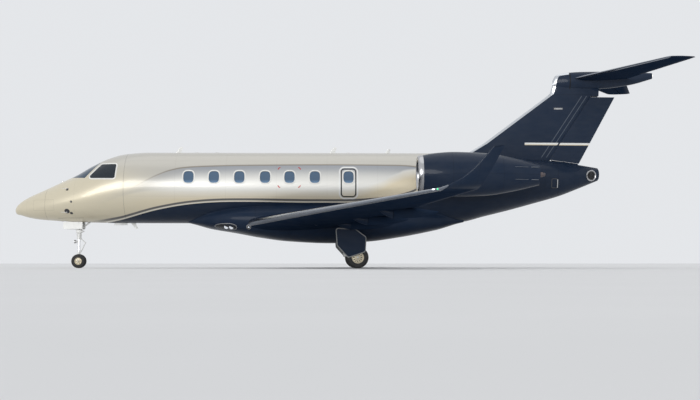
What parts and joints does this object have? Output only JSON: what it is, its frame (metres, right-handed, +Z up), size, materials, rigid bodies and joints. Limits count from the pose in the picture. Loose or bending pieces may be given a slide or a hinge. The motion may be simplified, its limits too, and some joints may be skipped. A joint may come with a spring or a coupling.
{
  "type": "business jet",
  "caption": "Twin-engined business jet with a high tailplane, winglets, rear engines, and twin-wheel gear, parked, with working wheels, steering, door, flaps, rudder, elevators and ailerons.",
  "frame": {"origin": "on the floor under the middle of the bounding box", "axes": "+X aft, +Y to the aircraft's right, +Z up"},
  "size_m": [20.74, 20.249, 6.37],
  "materials": {
    "carpet_matte_plastic": "matte",
    "champagne_gloss_plastic": "gloss",
    "champagne_painted_metal": "gloss",
    "dark_painted_metal": "satin",
    "glass_glass": "gloss",
    "grey_aluminium": "satin",
    "grey_painted_metal": "satin",
    "leather_leather": "satin",
    "navy_aluminium": "gloss",
    "navy_gloss_plastic": "gloss",
    "navy_painted_metal": "gloss",
    "polished_aluminium": "polished",
    "rubber_tyre": "matte",
    "titanium_painted_metal": "satin",
    "white_painted_metal": "satin"
  },
  "bodies": {
    "airframe": {"aft_bulkhead": "grey_aluminium", "avionics_block": "grey_painted_metal", "belly_fairing": "navy_gloss_plastic", "cabin_floor": "carpet_matte_plastic", "cabin_seats_left": "leather_leather", "cabin_seats_right": "leather_leather", "cockpit_seats": "leather_leather", "cockpit_window_left": "glass_glass", "cockpit_window_right": "glass_glass", "engine_left": "titanium_painted_metal", "engine_right": "titanium_painted_metal", "fin": "navy_aluminium", "fuselage_aft": "navy_painted_metal", "fuselage_cabin": "champagne_painted_metal", "fuselage_forward": "champagne_painted_metal", "instrument_panel": "dark_painted_metal", "intake_lip_left": "polished_aluminium", "intake_lip_right": "polished_aluminium", "main_gear_door_left": "navy_painted_metal", "main_gear_door_right": "navy_painted_metal", "main_leg_left": "white_painted_metal", "main_leg_right": "white_painted_metal", "nacelle_left": "navy_gloss_plastic", "nacelle_right": "navy_gloss_plastic", "nose_gear_door_left": "white_painted_metal", "nose_gear_door_right": "white_painted_metal", "nose_leg_cylinder": "white_painted_metal", "overwing_exit": "champagne_painted_metal", "pylon_left": "navy_aluminium", "pylon_right": "navy_aluminium", "radome": "champagne_gloss_plastic", "stabiliser": "navy_aluminium", "tail_cone": "navy_gloss_plastic", "windshield_left": "glass_glass", "windshield_right": "glass_glass", "wing_left": "navy_aluminium", "wing_right": "navy_aluminium", "winglet_left": "champagne_gloss_plastic", "winglet_right": "champagne_gloss_plastic"},
    "nose_gear_steered": {"nose_leg_fork": "white_painted_metal"},
    "nose_wheels": {"nose_rims": "white_painted_metal", "nose_tyre_left": "rubber_tyre", "nose_tyre_right": "rubber_tyre"},
    "main_wheels_left": {"main_left_rims": "white_painted_metal", "main_left_tyre_left": "rubber_tyre", "main_left_tyre_right": "rubber_tyre"},
    "main_wheels_right": {"main_right_rims": "white_painted_metal", "main_right_tyre_left": "rubber_tyre", "main_right_tyre_right": "rubber_tyre"},
    "fan_rotor_left": {"fan_left": "titanium_painted_metal"},
    "fan_rotor_right": {"fan_right": "titanium_painted_metal"},
    "entry_door_panel": {"entry_door": "champagne_painted_metal"},
    "rudder_panel": {"rudder": "navy_aluminium"},
    "elevator_panel_left": {"elevator_left": "navy_aluminium"},
    "elevator_panel_right": {"elevator_right": "navy_aluminium"},
    "aileron_panel_left": {"aileron_left": "navy_aluminium"},
    "aileron_panel_right": {"aileron_right": "navy_aluminium"},
    "flap_panel_left": {"flap_left": "navy_aluminium"},
    "flap_panel_right": {"flap_right": "navy_aluminium"}
  },
  "joints": [
    {"name": "nose_steering", "type": "hinge", "parent": "airframe", "child": "nose_gear_steered", "pos_m": [-8.34, 0, 0.22], "axis": [0, 0, 1], "range_deg": [-60, 60]},
    {"name": "nose_wheel_spin", "type": "hinge", "parent": "nose_gear_steered", "child": "nose_wheels", "pos_m": [-8.34, 0, 0.22], "axis": [0, 1, 0], "continuous": true},
    {"name": "main_wheel_spin_left", "type": "hinge", "parent": "airframe", "child": "main_wheels_left", "pos_m": [0.5, -1.52, 0.33], "axis": [0, 1, 0], "continuous": true},
    {"name": "main_wheel_spin_right", "type": "hinge", "parent": "airframe", "child": "main_wheels_right", "pos_m": [0.5, 1.52, 0.33], "axis": [0, 1, 0], "continuous": true},
    {"name": "fan_spin_left", "type": "hinge", "parent": "airframe", "child": "fan_rotor_left", "pos_m": [3.23, -1.9, 2.86], "axis": [1, 0, 0], "continuous": true},
    {"name": "fan_spin_right", "type": "hinge", "parent": "airframe", "child": "fan_rotor_right", "pos_m": [3.23, 1.9, 2.86], "axis": [1, 0, 0], "continuous": true},
    {"name": "entry_door_hinge", "type": "hinge", "parent": "airframe", "child": "entry_door_panel", "pos_m": [-6.42, 0.95376, 1.954], "axis": [-1, 0, 0], "range_deg": [0, 140]},
    {"name": "rudder_hinge", "type": "hinge", "parent": "airframe", "child": "rudder_panel", "pos_m": [6.76, 0, 3.49], "axis": [0.5536, 0, 0.8328], "range_deg": [-25, 25]},
    {"name": "elevator_hinge_right", "type": "hinge", "parent": "airframe", "child": "elevator_panel_right", "pos_m": [8.83, 0.42, 6.12946], "axis": [0.3681, 0.9295, 0.0209], "range_deg": [-22, 15]},
    {"name": "elevator_hinge_left", "type": "hinge", "parent": "airframe", "child": "elevator_panel_left", "pos_m": [8.83, -0.42, 6.12946], "axis": [-0.3681, 0.9295, -0.0209], "range_deg": [-22, 15]},
    {"name": "aileron_hinge_right", "type": "hinge", "parent": "airframe", "child": "aileron_panel_right", "pos_m": [1.62, 6.06, 1.69432], "axis": [0.3131, 0.9481, 0.0562], "range_deg": [-20, 20]},
    {"name": "aileron_hinge_left", "type": "hinge", "parent": "airframe", "child": "aileron_panel_left", "pos_m": [1.62, -6.06, 1.69432], "axis": [-0.3131, 0.9481, -0.0562], "range_deg": [-20, 20]},
    {"name": "flap_hinge_right", "type": "hinge", "parent": "airframe", "child": "flap_panel_right", "pos_m": [0.27, 1.78, 1.14384], "axis": [0.2919, 0.9548, 0.0559], "range_deg": [0, 35]},
    {"name": "flap_hinge_left", "type": "hinge", "parent": "airframe", "child": "flap_panel_left", "pos_m": [0.27, -1.78, 1.14384], "axis": [-0.2919, 0.9548, -0.0559], "range_deg": [0, 35]}
  ],
  "couplings": [
    {"joint": "elevator_hinge_left", "follows": "elevator_hinge_right", "ratio": 1},
    {"joint": "aileron_hinge_left", "follows": "aileron_hinge_right", "ratio": -1},
    {"joint": "flap_hinge_left", "follows": "flap_hinge_right", "ratio": 1}
  ]
}
